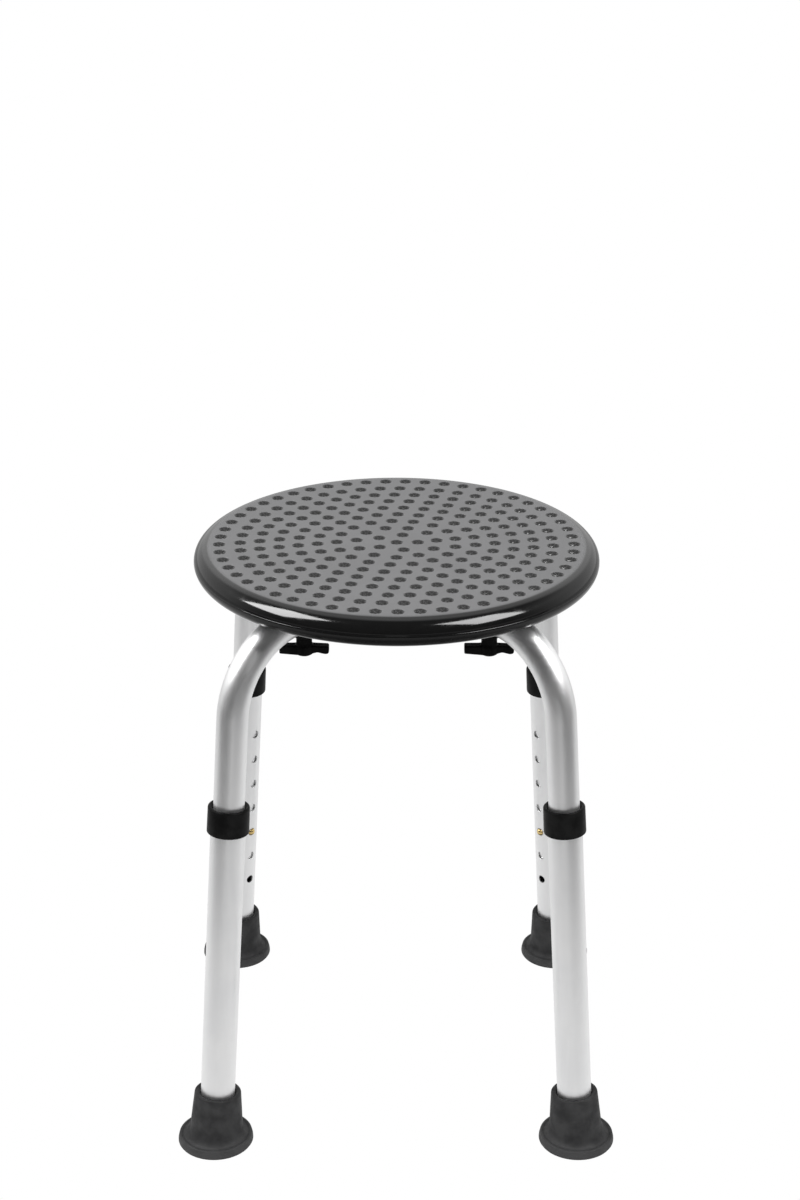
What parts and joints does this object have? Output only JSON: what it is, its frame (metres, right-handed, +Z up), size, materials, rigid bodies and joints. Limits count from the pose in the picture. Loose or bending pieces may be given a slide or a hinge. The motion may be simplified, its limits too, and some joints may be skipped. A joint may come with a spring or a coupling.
{
  "type": "shower stool",
  "caption": "Round backless shower stool: dimpled black seat on telescoping aluminium legs with snap-button height locks and wide rubber feet.",
  "frame": {"origin": "on the floor, straight below the middle of the seat", "axes": "+Z up; -Y is the front, the side seen in the picture; +X is to the right seen from the front"},
  "size_m": [0.3684, 0.3684, 0.4835],
  "materials": {
    "black_seat_plastic": "glossy rolled rim, finely grained satin top",
    "satin_aluminium": "satin anodised tube",
    "black_collar_plastic": "moulded, satin",
    "grey_rubber": "dark grey moulded rubber",
    "black_lever_plastic": "glass-filled black plastic",
    "brass": "bright, turned",
    "zinc_steel": "bright zinc plated",
    "spring_steel": "bright spring strip"
  },
  "bodies": {
    "stool_top": {"seat": "black_seat_plastic", "seat_studs": "zinc_steel", "saddle_washers": "black_collar_plastic", "upper_leg_front_right": "satin_aluminium", "spring_clip_front_right": "spring_steel", "upper_leg_back_right": "satin_aluminium", "spring_clip_back_right": "spring_steel", "upper_leg_back_left": "satin_aluminium", "spring_clip_back_left": "spring_steel", "upper_leg_front_left": "satin_aluminium", "spring_clip_front_left": "spring_steel"},
    "leg_front_right": {"lower_tube_front_right": "satin_aluminium", "collar_front_right": "black_collar_plastic", "foot_front_right": "grey_rubber", "foot_washer_front_right": "zinc_steel"},
    "button_front_right": {"snap_button_front_right": "brass"},
    "lever_front_right": {"lever_nut_front_right": "black_lever_plastic", "lever_insert_front_right": "brass"},
    "leg_back_right": {"lower_tube_back_right": "satin_aluminium", "collar_back_right": "black_collar_plastic", "foot_back_right": "grey_rubber", "foot_washer_back_right": "zinc_steel"},
    "button_back_right": {"snap_button_back_right": "brass"},
    "lever_back_right": {"lever_nut_back_right": "black_lever_plastic", "lever_insert_back_right": "brass"},
    "leg_back_left": {"lower_tube_back_left": "satin_aluminium", "collar_back_left": "black_collar_plastic", "foot_back_left": "grey_rubber", "foot_washer_back_left": "zinc_steel"},
    "button_back_left": {"snap_button_back_left": "brass"},
    "lever_back_left": {"lever_nut_back_left": "black_lever_plastic", "lever_insert_back_left": "brass"},
    "leg_front_left": {"lower_tube_front_left": "satin_aluminium", "collar_front_left": "black_collar_plastic", "foot_front_left": "grey_rubber", "foot_washer_front_left": "zinc_steel"},
    "button_front_left": {"snap_button_front_left": "brass"},
    "lever_front_left": {"lever_nut_front_left": "black_lever_plastic", "lever_insert_front_left": "brass"}
  },
  "joints": [
    {"name": "leg_height_front_right", "type": "slide", "parent": "stool_top", "child": "leg_front_right", "axis": [0.0565, -0.0565, -0.9968], "range_m": [-0.052, 0.104]},
    {"name": "button_press_front_right", "type": "slide", "parent": "stool_top", "child": "button_front_right", "axis": [0.7048, -0.7048, 0.0799], "range_m": [0, 0.0042], "stiffness_N_per_m": 1500, "springref_m": -0.003, "deforming": ["spring_clip_front_right"]},
    {"name": "lever_turn_front_right", "type": "hinge", "parent": "stool_top", "child": "lever_front_right", "pos_m": [0.07495, -0.07495, 0.4207], "axis": [0, 0, 1], "continuous": true},
    {"name": "leg_height_back_right", "type": "slide", "parent": "stool_top", "child": "leg_back_right", "axis": [0.0565, 0.0565, -0.9968], "range_m": [-0.052, 0.104]},
    {"name": "button_press_back_right", "type": "slide", "parent": "stool_top", "child": "button_back_right", "axis": [0.7048, 0.7048, 0.0799], "range_m": [0, 0.0042], "stiffness_N_per_m": 1500, "springref_m": -0.003, "deforming": ["spring_clip_back_right"]},
    {"name": "lever_turn_back_right", "type": "hinge", "parent": "stool_top", "child": "lever_back_right", "pos_m": [0.07495, 0.07495, 0.4207], "axis": [0, 0, 1], "continuous": true},
    {"name": "leg_height_back_left", "type": "slide", "parent": "stool_top", "child": "leg_back_left", "axis": [-0.0565, 0.0565, -0.9968], "range_m": [-0.052, 0.104]},
    {"name": "button_press_back_left", "type": "slide", "parent": "stool_top", "child": "button_back_left", "axis": [-0.7048, 0.7048, 0.0799], "range_m": [0, 0.0042], "stiffness_N_per_m": 1500, "springref_m": -0.003, "deforming": ["spring_clip_back_left"]},
    {"name": "lever_turn_back_left", "type": "hinge", "parent": "stool_top", "child": "lever_back_left", "pos_m": [-0.07495, 0.07495, 0.4207], "axis": [0, 0, 1], "continuous": true},
    {"name": "leg_height_front_left", "type": "slide", "parent": "stool_top", "child": "leg_front_left", "axis": [-0.0565, -0.0565, -0.9968], "range_m": [-0.052, 0.104]},
    {"name": "button_press_front_left", "type": "slide", "parent": "stool_top", "child": "button_front_left", "axis": [-0.7048, -0.7048, 0.0799], "range_m": [0, 0.0042], "stiffness_N_per_m": 1500, "springref_m": -0.003, "deforming": ["spring_clip_front_left"]},
    {"name": "lever_turn_front_left", "type": "hinge", "parent": "stool_top", "child": "lever_front_left", "pos_m": [-0.07495, -0.07495, 0.4207], "axis": [0, 0, 1], "continuous": true}
  ]
}
